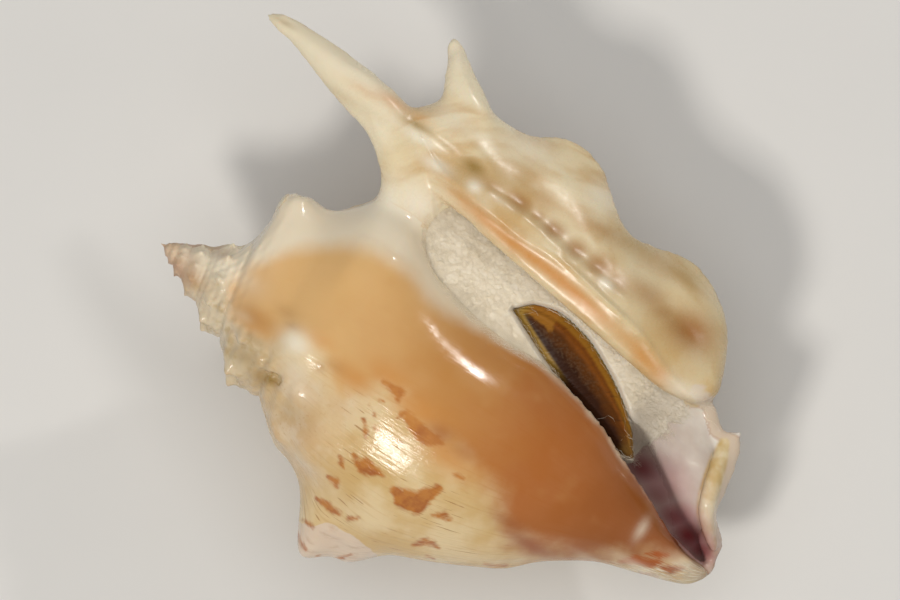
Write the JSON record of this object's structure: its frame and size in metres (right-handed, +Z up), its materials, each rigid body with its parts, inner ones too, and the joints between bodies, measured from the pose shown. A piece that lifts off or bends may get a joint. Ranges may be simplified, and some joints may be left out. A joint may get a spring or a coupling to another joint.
{
  "type": "spider conch shell",
  "caption": "Spider conch shell lying on its back, with a flared lip, long digits and its horny operculum set on cotton wool in the aperture.",
  "frame": {"origin": "centre of the bounding box, on the floor that the shell's back rests on", "axes": "+X along the coiling axis from the apex to the siphonal canal, +Y to the outer lip, +Z up out of the aperture"},
  "size_m": [0.1559, 0.1224, 0.0674],
  "materials": {
    "shell": "glossy porcelain callus, golden tan to orange, over a satin cream shell with brown flecks",
    "operculum": "satin horn, dark brown with amber edges",
    "cotton": "loose white cotton wool"
  },
  "bodies": {
    "root": {"shell": "shell", "operculum": "operculum", "cotton_plug": "cotton"}
  },
  "joints": []
}
